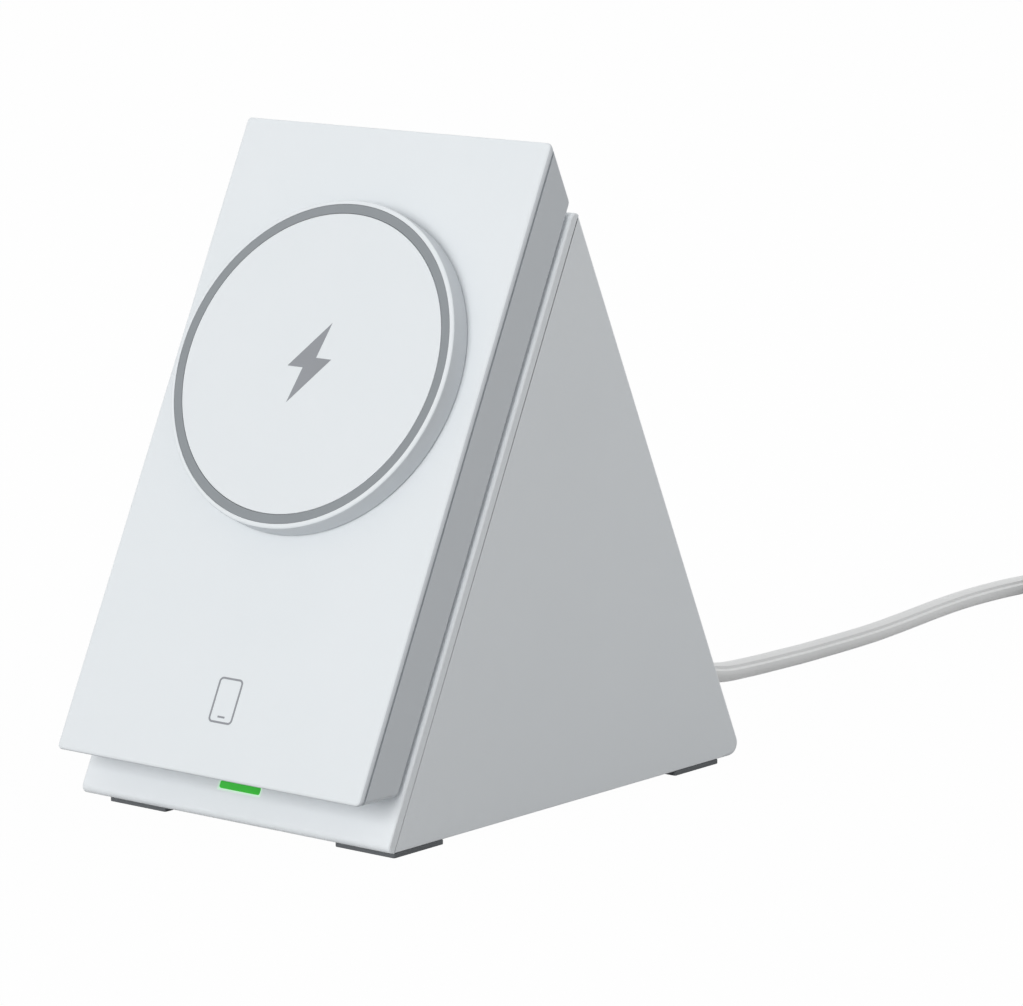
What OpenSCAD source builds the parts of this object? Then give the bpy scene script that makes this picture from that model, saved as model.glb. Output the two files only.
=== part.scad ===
// Three in one wireless charger: a wedge-shaped stand with a tilting phone panel in front,
// a watch puck and an earbud seat behind, and a supply cable plugged in low at the rear.
// Millimetres, +Z up, +Y to the rear. The origin is on the table under the middle of the stand.

/* [Stand] */
// Height of the sharp top edge above the underside
stand_h = 102.1; // [92:0.1:125]
// Step of the stand's sides beyond the panel's
side_step = 0.6; // [0:0.1:2]
// Lean of the front slope from the vertical
lean = 25.4; // [20:0.1:30]
// Lean of the rear slope from the vertical
rear_lean = 26.6; // [22:0.1:32]
// Thickness of the side and rear walls
wall = 2; // [1.6:0.1:2.6]
// Thickness of the front cover
cover_t = 1.6; // [1.4:0.1:2.2]
// Thickness of the base plate
floor_t = 1.8; // [1.6:0.1:2.2]
// Depth of the rolled-in flanges at the toe and the heel
flange_l = 9; // [7:0.5:11]
// Rounding of the toe
toe_r = 1.2; // [1:0.1:3.5]
// Rounding of the heel
heel_r = 2; // [1:0.1:3.5]
// Rounding of the top edge
apex_r = 1.3; // [0.6:0.1:1.6]

/* [Phone panel] */
// Width of the panel's face beside the puck
puck_side = 4.2; // [3.5:0.1:12]
// Depth of the panel's end inside the stand's rear slope
end_inset = 0.33; // [0:0.01:1]
// Thickness of the panel
panel_t = 9.3; // [9.3:0.1:12]
// Height of the panel's underside above the stand's underside
panel_rise = 9; // [7:0.1:12]
// Gap between the panel's back and the stand's front slope
panel_gap = 0.5; // [0.4:0.1:1]
// Thickness of the panel's face
face_t = 1.8; // [1.4:0.1:2]
// Thickness of the panel's back plate
back_t = 1.6; // [1.2:0.1:1.8]
// Rounding of the face's corners
corner_r = 1.6; // [0.5:0.1:4]
// Rounding of the face's lower edge in the side view
edge_r = 0.5; // [0.3:0.1:1.2]
// Rounding of the face's upper edge in the side view
tip_r = 0.3; // [0.2:0.1:0.6]
// Rounding of the rear top edge, with the hinge axis at its centre
hinge_r = 3; // [3:0.1:3.6]

/* [Phone puck] */
// Diameter of the raised puck
puck_d = 58; // [56:0.5:60]
// Height of the puck above the panel
puck_h = 4.2; // [3.6:0.1:5]
// Distance of the puck's centre below the panel's upper edge
puck_down = 43.7; // [40:0.1:48]
// Distance of the grip ring from the puck's side
ring_side = 0.8; // [0.5:0.05:1.5]
// Width of the grip ring
ring_w = 1.65; // [1.2:0.05:2.4]
// Depth of the grip ring
ring_t = 0.8; // [0.6:0.1:1]
// Thickness of the puck's face disc
disc_t = 1.2; // [1:0.1:1.4]
// Distance of the magnets from the grip ring's outside
magnet_side = 2; // [1.5:0.1:3]
// Radial width of the magnets
magnet_w = 3.6; // [3:0.1:4.5]
// Number of magnets in the array
magnet_n = 18; // [12:1:24]
// Gap between the magnets and the phone coil
coil_side = 1.6; // [1.2:0.1:4]
// Distance of the phone mark's centre from the panel's lower edge
mark_s = 13.35; // [10:0.05:20]

/* [Hinge] */
// Distance of each hinge from the panel's side
hinge_side = 13.2; // [12.5:0.1:17]
// Diameter of the hinge pins
pin_d = 2; // [1.6:0.1:2.2]
// Radius of the hinge lugs
lug_r = 2.6; // [2.2:0.1:2.8]
// Thickness of the stand's hinge lugs
lug_w = 3; // [2:0.1:4]
// Thickness of the panel's hinge cheeks
cheek_w = 1.8; // [1.2:0.1:2.2]
// Thickness of the friction washers
washer_t = 0.4; // [0.3:0.1:0.6]

/* [Rear chargers] */
// Diameter of the watch puck
watch_d = 31; // [28:0.5:33]
// Height of the watch puck above the rear wall
watch_h = 5; // [3:0.5:7]
// Distance of the watch puck's centre below the stand's top edge
watch_down = 24.2; // [21:0.1:28]
// Diameter of the earbud pad
bud_d = 32; // [28:0.5:34]
// Distance of the ledge up the rear slope
ledge_s = 26; // [22:0.5:28]
// Reach of the ledge from the rear wall
ledge_out = 6.5; // [4:0.5:7]
// Width of the ledge
ledge_w = 48; // [36:1:56]

/* [Supply] */
// Height of the socket's axis above the underside
port_z = 8; // [7.5:0.1:10]
// Depth of the socket's mouth behind the rear wall's face
port_recess = 7.7; // [6:0.1:10]
// Width of the port's recess
recess_w = 13; // [12.5:0.5:16]
// Height of the port's recess
recess_h = 7.6; // [7:0.1:8]
// Length of the plug's grip
grip_l = 15; // [12:0.5:20]
// Diameter of the cable
cable_d = 3.8; // [3.4:0.1:4]

/* [Feet and light] */
// Height of the feet
foot_h = 0.8; // [0.8:0.1:2]
// Width of each foot
foot_w = 12.6; // [8:0.1:14]
// Length of each foot
foot_l = 12.9; // [8:0.1:14]
// Rounding of the feet's corners
foot_r = 0.4; // [0.2:0.1:3]
// Distance of the front feet behind the toe's rounding
foot_front = 0; // [0:0.1:3]
// Distance of the rear feet before the heel
foot_rear = 7.3; // [4:0.1:12]
// Distance of the feet from the stand's sides
foot_side = 0; // [0:0.1:6]
// Distance of the front left foot from the stand's side
foot_side_left = 5.3; // [0:0.1:8]
// Width of the status light
light_w = 8.8; // [6:0.1:12]
// Height of the status light
light_h = 1.3; // [1:0.1:2]
// Place of the status light up the front slope
light_s = 1.05; // [0:0.05:3]

/* [Hidden] */

$fn = 64;
// Clearance between fitted pieces, and between a pin and its running bore
fit = 0.1;
run_fit = 0.04;
// Clearance between faces that slide past each other on the two bodies
side_gap = 0.3;
// Overshoot of cutting shapes
cut = 1;

// Outlines
function unit(v) = v / norm(v);
function turn(a0, a1) = (a1 - a0 + 540) % 360 - 180;
// Arc that rounds the corner p between its neighbours a and b
function corner(p, a, b, r, n = 8) =
    r <= 0 ? [p] :
    let (u = unit(a - p), v = unit(b - p), half = acos(u * v) / 2)
    let (m = p + unit(u + v) * r / sin(half))
    let (s = p + u * r / tan(half) - m, e = p + v * r / tan(half) - m)
    let (a0 = atan2(s.y, s.x), da = turn(a0, atan2(e.y, e.x)))
    [for (i = [0:n]) m + r * [cos(a0 + da * i / n), sin(a0 + da * i / n)]];
function rounded(pts, radii, n = 8) =
    let (k = len(pts))
    [for (i = [0:k - 1]) each corner(pts[i], pts[(i + k - 1) % k], pts[(i + 1) % k], radii[i], n)];

// Widths, from the puck outwards
panel_w = puck_d + 2 * puck_side;
stand_w = panel_w + 2 * side_step;

// The stand's wedge, centred between the foremost and the rearmost point of the whole
wedge = lean + rear_lean;
slope_t = panel_t + panel_gap;
raw_toe_y = slope_t / cos(lean) - panel_rise * tan(lean);
raw_heel_y = raw_toe_y + stand_h * (tan(lean) + tan(rear_lean));
front_y = edge_r * (1 / tan((90 - lean) / 2) - 1);
rear_y = raw_heel_y - heel_r * (1 / tan((90 - rear_lean) / 2) - 1);
mid_y = (front_y + rear_y) / 2;
toe_y = raw_toe_y - mid_y;
apex_y = toe_y + stand_h * tan(lean);
heel_y = raw_heel_y - mid_y;
base_z = foot_h;
top_z = base_z + stand_h;
panel_y = -mid_y;
panel_z = base_z + panel_rise;
inner_t = slope_t + cover_t;
// Point of the side view at depth t behind the panel's face and s up from its lower edge
function at_panel(t, s) =
    [panel_y + t * cos(lean) + s * sin(lean), panel_z - t * sin(lean) + s * cos(lean)];
// Rear wall's inner face in the side view
function rear_inner(z) = heel_y - (z - base_z) * tan(rear_lean) - wall / cos(rear_lean);

// Phone panel, in its own frame: x across, t into the panel, s up along its face.
// Its end lies along the stand's rear slope, which passes the top edge at apex_s.
apex_s = (stand_h - panel_rise + slope_t * sin(lean)) / cos(lean);
panel_l = apex_s + slope_t / tan(wedge) - end_inset / sin(wedge);
end_s = panel_l - panel_t / tan(wedge);
puck_s = panel_l - puck_down;
function end_inner(t, gap) = panel_l - t / tan(wedge) - gap / sin(wedge);
function foot_inner(t, gap) = t * tan(lean) + gap / cos(lean);
hinge_x = panel_w / 2 - hinge_side;
hinge_t = panel_t - hinge_r;
hinge_s = end_s - hinge_r / tan((180 - wedge) / 2);
hinge_half = lug_w / 2 + side_gap + washer_t + cheek_w;
pin_head = 0.6;
notch_half = hinge_half + pin_head + side_gap;
notch_r = lug_r + 0.7;
notch_s = hinge_s - 7.8;

// Base screws: place across and along the stand
boss_d = 6;
boss_h = 12;
boss_x = stand_w / 2 - wall - boss_d / 2 + 0.5;
boss_front_y = toe_y + flange_l + boss_d;
boss_rear_y = heel_y - flange_l - boss_d;
cover_boss_x = 16;
screw_d = 2.2;
screw_head_d = 4.4;
screw_l = 9;
shell_screws = [for (x = [-boss_x, boss_x], y = [boss_front_y, boss_rear_y]) [x, y]];
cover_screws = [for (x = [-cover_boss_x, cover_boss_x]) [x, boss_front_y]];

// Socket, board and ballast
socket_size = [8.94, 7.35, 3.26];
mouth_y = heel_y - port_z * tan(rear_lean) - port_recess;
socket_z = base_z + port_z;
recess_wall = 1.4;
board_t = 1;
board_z = socket_z - socket_size.z / 2 - board_t;
board_w = 2 * (boss_x - boss_d / 2 - 3.3);
board_l = 30;
board_y = mouth_y - recess_wall - fit - board_l;
ballast_t = 4;
ballast_w = board_w + 2;
ballast_y = boss_front_y + boss_d / 2 + 1;
ballast_l = board_y - 1 - ballast_y;
post_d = 4;

// Hinge bracket: a plate behind the cover, on four bosses
bracket_t = 1.2;
pad_h = 1.8;
pad_d = 4.5;
bracket_depth = inner_t + pad_h;
bracket_low = hinge_s - 27.5;
bracket_top = hinge_s - 9.5;
bracket_half = hinge_x + 5;
bracket_spots = [for (m = [-1, 1]) each [
    [m * (hinge_x - 8), bracket_low + 4], [m * hinge_x, bracket_top - 9]]];
neck_w = 3.2;
neck_end = [bracket_depth + bracket_t / 2, hinge_s - 10.2];
slot_s = [hinge_s - 9.8, hinge_s - 1.3];
flex_s = [hinge_s - 8.2, hinge_s - 4];
bracket_tip_t = slope_t + 1.2;
small_screw_d = 1.6;
small_head_d = 3;

// Puck interior
puck_r = puck_d / 2;
ring_r = puck_r - ring_side;
disc_r = ring_r - ring_w;
magnet_r = ring_r - magnet_side;
coil_r = magnet_r - magnet_w - coil_side;
magnet_t = 1.6;
yoke_t = 0.5;
spigot_r = magnet_r + 0.2 + 1.2;
spigot_t = face_t + 1.5;
web_t = 0.8;
web_r = magnet_r - magnet_w - 1;
array_t0 = -(puck_h - disc_t - web_t) + 0.05;
coil_t0 = -(puck_h - disc_t) + 0.05;
coil_wire = 1;
sheet_t = 0.8;
carrier_t0 = array_t0 + magnet_t + yoke_t + 0.1;
// Depths of the inlaid marks
bolt_t = 0.2;
icon_t = 0.15;

// Hinge leaves: plates on pads inside the panel's face
leaf_pad_t = 1.2;
leaf_t0 = face_t + leaf_pad_t;
leaf_t = 1;
leaf_l = 8;
leaf_s0 = hinge_s - 11.4;
leaf_spots = [for (x = [-hinge_x, hinge_x], dx = [-2, 2]) [x + dx, hinge_s - 8.5]];

// Panel fasteners and board
panel_boss_d = 5;
panel_boss_x = panel_w / 2 - wall - panel_boss_d / 2 + 0.3;
panel_screw_s = [12, puck_s - puck_d / 2 - 4.2, hinge_s - 7.5];
panel_screw_spots = [for (x = [-panel_boss_x, panel_boss_x], s = panel_screw_s) [x, s]];
head_sink = 1.05;
// Ends of the panel's and the leaves' screws, with room in their bores
panel_tip_t = face_t + 1.2;
leaf_tip_t = 1.2;
screw_room = 0.2;
// Overlap that roots a boss in its wall
root = 0.2;
phone_board_w = 40;
phone_board_s = [puck_s - 25, puck_s + 23];
phone_board_t = 1;
phone_board_gap = 1.6;

// Watch charger near the top of the rear wall, its spigot through the wall
watch_s = stand_h / cos(rear_lean) - watch_down;
watch_spigot_d = watch_d - 6;
watch_coil_d = watch_spigot_d - 3;
watch_magnet_d = 9;
watch_rim = 1.6;
watch_dish_t = 1.6;
watch_in = 2.6;

// Earbud pad, midway between the ledge and the watch puck
ledge_t = 2.4;
bud_s = (ledge_s + ledge_t + watch_s - watch_d / 2) / 2;
pad_sink = 0.5;
pad_out = 0.3;

// Plugs
plug_gap = 0.3;
plug_size = [8.25, 6.5, 2.4];
grip_h = 5.6;
grip_size = [10.6, grip_l, grip_h];
relief_d = 5;

// Cable: from the plug's tail it sinks to the table, runs to the rear and enters the coil
cable_r = cable_d / 2;
cable_path = [
    [0, 67, 8.8], [0, 70, 8.8], [0, 74, 8.5], [-0.1, 79, 7.6], [-0.3, 84, 6.3], [-0.6, 89, 5],
    [-1, 94, 4], [-1.5, 98.5, 3.4], [-2.1, 104, 3], [-2.8, 111, 2.6], [-3.4, 119, 2.3],
    [-3.9, 127, 2.05], [-4.3, 134, 1.95], [-4.6, 144, 1.95], [-5.2, 154, 1.95], [-6.4, 164, 1.95],
    [-7.8, 174, 1.95], [-9.2, 184, 1.95], [-10.2, 194, 1.95], [-10.5, 203, 1.95], [-10.2, 212, 1.95],
    [-9.2, 221, 1.95], [-8.3, 228, 1.95], [-8, 232, 1.95]];
coil_at = [18.1, 232];
coil_mid_d = 40.8;
coil_cols = 4;
coil_rows = 2;
coil_in = coil_mid_d / 2 - coil_cols * cable_d / 2;
coil_out = coil_mid_d / 2 + coil_cols * cable_d / 2;
// The strain relief ends at the cable's first face
plug_y = mouth_y + plug_gap;
relief_l = cable_path[0].y - plug_y - grip_l;
// The cable leaves the coil on its right, and the far plug points back at the stand
way_out = sqrt(pow(coil_out, 2) - pow(coil_out - cable_r, 2));
far_plug_at = [
    coil_at.x + coil_out - cable_r, coil_at.y - way_out + root - relief_l - grip_l, grip_h / 2];

panel_white = "#e6eaed";
stand_white = "#dfe3e6";
ring_grey = "#93979b";
rubber_grey = "#6a6d70";
steel = "#b6babd";
copper = "#b87333";
ferrite = "#3c3c40";
board_green = "#2f6f4f";

// Shared shapes

// A side view stretched across the stand, centred on x
module side(w, x = 0) {
    translate([x, 0, 0])
        rotate([90, 0, 90])
            linear_extrude(w, center = true)
                children();
}

module on_panel() {
    translate([0, panel_y, panel_z])
        rotate([-lean, 0, 0])
            children();
}

// Rear slope's frame: x across, n out of the wall, s up along it
module on_rear() {
    translate([0, heel_y, base_z])
        rotate([rear_lean, 0, 0])
            children();
}

// Round bar along the depth, from depth t0 to t1 at height s
module bar(t0, t1, d, x = 0, s = 0) {
    translate([x, t0, s])
        rotate([-90, 0, 0])
            cylinder(h = t1 - t0, d = d);
}

// Ring along the depth, from t0 to t1 between two diameters
module washer(t0, t1, d, hole, x = 0, s = 0) {
    difference() {
        bar(t0, t1, d, x, s);
        bar(t0 - cut, t1 + cut, hole, x, s);
    }
}

// Section of radius against depth turned about the depth axis at height s
module turned(s, angle = 360) {
    translate([0, 0, s])
        rotate([-90, 0, 0])
            rotate_extrude(angle = angle, $fn = 128)
                children();
}

module round_rect(size, r) {
    square([size.x, size.y - 2 * r], center = true);
    square([size.x - 2 * r, size.y], center = true);
    for (x = [-1, 1], y = [-1, 1])
        translate([x * (size.x / 2 - r), y * (size.y / 2 - r)])
            circle(r);
}

// Flat strip of thickness th that follows a path in the side view, mitred at its bends
module strip(path, th) {
    n = len(path);
    ahead = [for (i = [0:n - 2]) unit(path[i + 1] - path[i])];
    across = [for (i = [0:n - 1])
        let (next = ahead[min(i, n - 2)], m = unit(ahead[max(i - 1, 0)] + next))
        [-m.y, m.x] / (m * next)];
    polygon(concat(
        [for (i = [0:n - 1]) path[i] + th / 2 * across[i]],
        [for (i = [n - 1:-1:0]) path[i] - th / 2 * across[i]]));
}

// Screw with a countersunk head, head down, its face at the origin
module countersunk(d, head_d, l) {
    cylinder(h = (head_d - d) / 2, d1 = head_d, d2 = d);
    cylinder(h = l, d = d);
}

// Stand

module stand_outline() {
    polygon(rounded([[toe_y, base_z], [apex_y, top_z], [heel_y, base_z]], [toe_r, apex_r, heel_r]));
}

// The strip of the side view that the front cover takes
module cover_zone(gap = 0) {
    translate([panel_y, panel_z])
        rotate(-lean)
            translate([0, -3 * panel_rise])
                square([inner_t + gap, panel_l + 6 * panel_rise]);
}

// The cover's rolled-in flange at the toe
module toe_zone() {
    translate([toe_y - cut, base_z - cut])
        square([flange_l + cut, floor_t + cut]);
}

module shell_cavity() {
    low = base_z - cut;
    difference() {
        polygon([[toe_y - 5, low], [toe_y - 5, top_z], [rear_inner(top_z), top_z], [rear_inner(low), low]]);
        translate([heel_y - flange_l, low - cut])
            square([flange_l, floor_t + 2 * cut]);
    }
}

// Shelf with an upturned edge that carries the earbud case
module ledge() {
    lip = 4.5;
    out = ledge_out;
    on_rear()
        side(ledge_w)
            polygon(rounded(
                [[-wall / 2, ledge_s], [out, ledge_s], [out, ledge_s + lip],
                 [out - 1.6, ledge_s + lip], [out - 1.6, ledge_s + ledge_t], [-wall / 2, ledge_s + ledge_t]],
                [0, 1, 0.7, 0.7, 0.8, 0]));
}

// Sunken box in the rear wall with the socket's slot in its floor
module port_box(grow) {
    translate([0, mouth_y - grow, socket_z])
        rotate([-90, 0, 0])
            linear_extrude(flange_l + port_recess)
                round_rect([recess_w + 2 * grow, recess_h + 2 * grow], 1.5 + grow);
}

module main_shell() {
    color(stand_white)
        difference() {
            union() {
                difference() {
                    side(stand_w)
                        difference() {
                            stand_outline();
                            cover_zone(fit);
                        }
                    side(stand_w - 2 * wall)
                        shell_cavity();
                }
                intersection() {
                    port_box(recess_wall);
                    side(stand_w)
                        stand_outline();
                }
                for (p = shell_screws)
                    translate([p.x, p.y, base_z + floor_t + fit])
                        cylinder(h = boss_h, d = boss_d);
                ledge();
            }
            port_box(0);
            translate([0, mouth_y - socket_size.y / 2, socket_z])
                cube(socket_size + 2 * fit * [1, 1, 1], center = true);
            for (p = shell_screws)
                translate([p.x, p.y, base_z])
                    cylinder(h = screw_l + cut, d = screw_d + 2 * run_fit);
            on_rear() {
                bar(-wall - cut, cut, watch_spigot_d + 2 * fit, 0, watch_s);
                bar(-pad_sink, cut, bud_d + 2 * fit, 0, bud_s);
            }
        }
}

module front_cover() {
    rib_w = 2;
    color(stand_white)
        difference() {
            union() {
                side(stand_w)
                    intersection() {
                        stand_outline();
                        cover_zone();
                    }
                side(stand_w - 2 * wall - 2 * fit)
                    intersection() {
                        stand_outline();
                        toe_zone();
                    }
                for (p = cover_screws) {
                    translate([p.x, p.y, base_z + floor_t + fit])
                        cylinder(h = boss_h, d = boss_d);
                    side(rib_w, p.x)
                        intersection() {
                            translate([toe_y, base_z + floor_t + fit])
                                square([p.y - toe_y, boss_h]);
                            translate([panel_y, panel_z])
                                rotate(-lean)
                                    translate([slope_t + cover_t / 2, -3 * panel_rise])
                                        square([stand_h, panel_l]);
                        }
                }
                on_panel()
                    for (p = bracket_spots)
                        bar(inner_t - root, bracket_depth, pad_d, p.x, p.y);
            }
            for (p = cover_screws)
                translate([p.x, p.y, base_z])
                    cylinder(h = screw_l + cut, d = screw_d + 2 * run_fit);
            on_panel() {
                for (x = [-hinge_x, hinge_x])
                    translate([x - lug_w / 2 - side_gap, slope_t - cut, slot_s[0]])
                        cube([lug_w + 2 * side_gap, cover_t + 2 * cut, slot_s[1] - slot_s[0]]);
                translate([-5, slope_t - cut, flex_s[0]])
                    cube([10, cover_t + 2 * cut, flex_s[1] - flex_s[0]]);
                translate([0, slope_t - cut, light_s])
                    rotate([-90, 0, 0])
                        linear_extrude(cover_t + 2 * cut)
                            round_rect([light_w + 2 * run_fit, light_h + 2 * run_fit], 0.4);
                for (p = bracket_spots)
                    bar(bracket_tip_t - screw_room, bracket_depth + cut, small_screw_d, p.x, p.y);
            }
        }
}

module base_plate() {
    w = stand_w - 2 * wall - 2 * fit;
    y0 = toe_y + flange_l + fit;
    y1 = heel_y - flange_l - fit;
    color(stand_white)
        difference() {
            union() {
                translate([-w / 2, y0, base_z])
                    cube([w, y1 - y0, floor_t]);
                for (x = [-1, 1], y = [board_y + 4, board_y + board_l - 9])
                    translate([x * (board_w / 2 - 4), y, base_z])
                        cylinder(h = board_z - base_z, d = post_d);
            }
            for (p = concat(shell_screws, cover_screws))
                translate([p.x, p.y, base_z - run_fit])
                    countersunk(screw_d + 2 * fit, screw_head_d + 2 * fit, floor_t + cut);
        }
}

module ballast_plate() {
    color(steel)
        translate([-ballast_w / 2, ballast_y, base_z + floor_t])
            cube([ballast_w, ballast_l, ballast_t]);
}

module base_screws() {
    color(steel)
        for (p = concat(shell_screws, cover_screws))
            translate([p.x, p.y, base_z])
                countersunk(screw_d, screw_head_d, screw_l);
}

module foot(x, y) {
    color(rubber_grey)
        translate([x, y, 0])
            linear_extrude(foot_h)
                round_rect([foot_w, foot_l], foot_r);
}

foot_x = stand_w / 2 - foot_side - foot_w / 2;
foot_x_left = stand_w / 2 - foot_side_left - foot_w / 2;
foot_front_y = toe_y + toe_r / tan((90 - lean) / 2) + foot_front + foot_l / 2;
foot_rear_y = heel_y - foot_rear - foot_l / 2;

module foot_front_right() {
    foot(foot_x, foot_front_y);
}

module foot_front_left() {
    foot(-foot_x_left, foot_front_y);
}

module foot_rear_right() {
    foot(foot_x, foot_rear_y);
}

module foot_rear_left() {
    foot(-foot_x, foot_rear_y);
}

module main_board() {
    color(board_green)
        translate([-board_w / 2, board_y, board_z])
            cube([board_w, board_l, board_t]);
}

// Power inductors, capacitors and the controller on the main board
module board_parts() {
    z = board_z + board_t;
    color("#303236") {
        for (x = [-15, -5, 5, 15])
            translate([x - 3, board_y + 12, z])
                cube([6, 6, 2.8]);
        translate([-2.5, board_y + 5, z])
            cube([5, 5, 0.9]);
        for (x = [-17, 8, 17])
            translate([x, board_y + 5, z])
                cylinder(h = 5, d = 5);
    }
}

module usb_socket() {
    shell = 0.3;
    tongue = [6.7, 5, 0.7];
    translate([0, mouth_y, socket_z])
        rotate([90, 0, 0])
            color(steel) {
                difference() {
                    linear_extrude(socket_size.y)
                        round_rect([socket_size.x, socket_size.z], 1.2);
                    translate([0, 0, -cut])
                        linear_extrude(socket_size.y - 0.4 + cut)
                            round_rect([socket_size.x - 2 * shell, socket_size.z - 2 * shell], 0.95);
                }
                translate([0, 0, socket_size.y - 0.2 - tongue.y / 2])
                    cube([tongue.x, tongue.z, tongue.y], center = true);
            }
}

// Light bar in the cover's slot, with a flange behind it
module status_light() {
    color("#2ca02c")
        on_panel()
            translate([0, slope_t, light_s])
                rotate([-90, 0, 0]) {
                    linear_extrude(cover_t + 0.1)
                        round_rect([light_w, light_h], 0.4);
                    translate([0, 0, cover_t])
                        linear_extrude(0.8)
                            round_rect([light_w + 2, light_h + 1.2], 0.4);
                }
}

module light_board() {
    t = inner_t + 1.5;
    color(board_green)
        on_panel() {
            translate([-9, t, light_s - 1.2])
                cube([18, 0.8, 5]);
            for (x = [-3, 0, 3])
                translate([x - 0.6, t - 0.6, light_s - 0.4])
                    cube([1.2, 0.6, 0.8]);
        }
}

// Ribbon cable from the hinge slot down the cover to the main board
module stand_flex() {
    t = inner_t + 0.4;
    color("#d6b36a")
        side(8)
            strip([
                at_panel(slope_t + 0.1, flex_s[0] + 2.6), at_panel(t, flex_s[0] + 1.8),
                at_panel(t, 9), [ballast_y + 2, base_z + floor_t + ballast_t + 2.4],
                [board_y - 2, base_z + floor_t + ballast_t + 2.4],
                [board_y + 3, board_z + board_t + 0.2]], 0.3);
}

// Steel plate behind the cover with two lugs that reach out to the hinge axis
module hinge_bracket() {
    arm_w = 10;
    dir = neck_end - [hinge_t, hinge_s];
    color(steel)
        on_panel()
            difference() {
                union() {
                    translate([-bracket_half, bracket_depth, bracket_low])
                        cube([2 * bracket_half, bracket_t, 8]);
                    for (x = [-hinge_x, hinge_x])
                        translate([x - arm_w / 2, bracket_depth, bracket_low])
                            cube([arm_w, bracket_t, bracket_top - bracket_low]);
                    for (x = [-hinge_x, hinge_x])
                        side(lug_w, x) {
                            translate([hinge_t, hinge_s]) {
                                circle(lug_r);
                                rotate(atan2(dir.y, dir.x))
                                    translate([0, -neck_w / 2])
                                        square([norm(dir), neck_w]);
                            }
                        }
                }
                for (x = [-hinge_x, hinge_x])
                    translate([x, hinge_t, hinge_s])
                        rotate([0, 90, 0])
                            cylinder(h = lug_w + 2 * cut, d = pin_d + 2 * run_fit, center = true);
                for (p = bracket_spots)
                    bar(bracket_depth - cut, bracket_depth + bracket_t + cut, small_screw_d + 2 * fit, p.x, p.y);
            }
}

// Small screws along the depth, with flat heads on the outer end
module small_screws(spots, head_t, tip_t) {
    way = tip_t > head_t ? 1 : -1;
    color(steel)
        for (p = spots) {
            bar(min(head_t, tip_t), max(head_t, tip_t), small_screw_d, p.x, p.y);
            bar(min(head_t, head_t - way), max(head_t, head_t - way), small_head_d, p.x, p.y);
        }
}

module bracket_screws() {
    on_panel()
        small_screws(bracket_spots, bracket_depth + bracket_t, bracket_tip_t);
}

// Rear chargers

module watch_puck() {
    r = watch_d / 2;
    sr = watch_spigot_d / 2;
    dr = r - watch_rim;
    color(panel_white)
        on_rear()
            turned(watch_s)
                polygon([
                    [sr - 1.2, -wall - watch_in], [sr, -wall - watch_in], [sr, 0], [r, 0],
                    [r, watch_h - 1], [r - 0.3, watch_h - 0.3], [r - 1, watch_h], [dr + fit, watch_h],
                    [dr + fit, watch_h - watch_dish_t], [sr - 1.2, watch_h - watch_dish_t]]);
}

module watch_dish() {
    dr = watch_d / 2 - watch_rim;
    bowl_r = 45;
    sag = 0.8;
    color("#f2f4f5")
        on_rear()
            difference() {
                bar(watch_h - watch_dish_t, watch_h, 2 * dr, 0, watch_s);
                translate([0, watch_h + bowl_r - sag, watch_s])
                    sphere(bowl_r, $fn = 96);
            }
}

module watch_magnet() {
    color(steel)
        on_rear()
            bar(watch_h - watch_dish_t - 2.4, watch_h - watch_dish_t - 0.1, watch_magnet_d, 0, watch_s);
}

module watch_coil() {
    color(copper)
        on_rear()
            washer(watch_h - watch_dish_t - 1.7, watch_h - watch_dish_t - 0.1,
                watch_coil_d, watch_magnet_d + 1, 0, watch_s);
}

// Ferrite cup that carries the coil and fills the spigot
module watch_ferrite() {
    top = watch_h - watch_dish_t;
    color(ferrite)
        on_rear()
            difference() {
                bar(-wall - watch_in, top - 0.1, watch_spigot_d - 2.6, 0, watch_s);
                bar(top - 1.8, top + cut, watch_coil_d + 2 * fit, 0, watch_s);
                bar(top - 2.5, top + cut, watch_magnet_d + 2 * fit, 0, watch_s);
            }
}

module earbud_pad() {
    color(ring_grey)
        on_rear()
            bar(-pad_sink, pad_out, bud_d, 0, bud_s);
}

module earbud_coil() {
    color(copper)
        on_rear()
            washer(-wall - 1.3, -wall - 0.1, bud_d - 4, 14, 0, bud_s);
}

module earbud_ferrite() {
    color(ferrite)
        on_rear()
            bar(-wall - 2.2, -wall - 1.4, bud_d - 2, 0, bud_s);
}

// Phone panel

module panel_outline() {
    polygon(rounded(
        [[0, 0], [0, panel_l], [panel_t, end_s], [panel_t, foot_inner(panel_t, 0)]],
        [edge_r, tip_r, hinge_r, 0.6]));
}

module panel_cavity(gap) {
    far = panel_t + cut;
    polygon([
        [face_t, foot_inner(face_t, gap)], [face_t, end_inner(face_t, gap)],
        [far, end_inner(far, gap)], [far, foot_inner(far, gap)]]);
}

// Clear space round each hinge, open to the rear and the top
module hinge_notch(x) {
    side(2 * notch_half, x) {
        translate([hinge_t, hinge_s]) {
            circle(notch_r);
            translate([0, -notch_r])
                square([2 * notch_r, 3 * notch_r]);
            rotate(wedge - 90)
                square([2 * notch_r, notch_r]);
        }
    }
}

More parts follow.
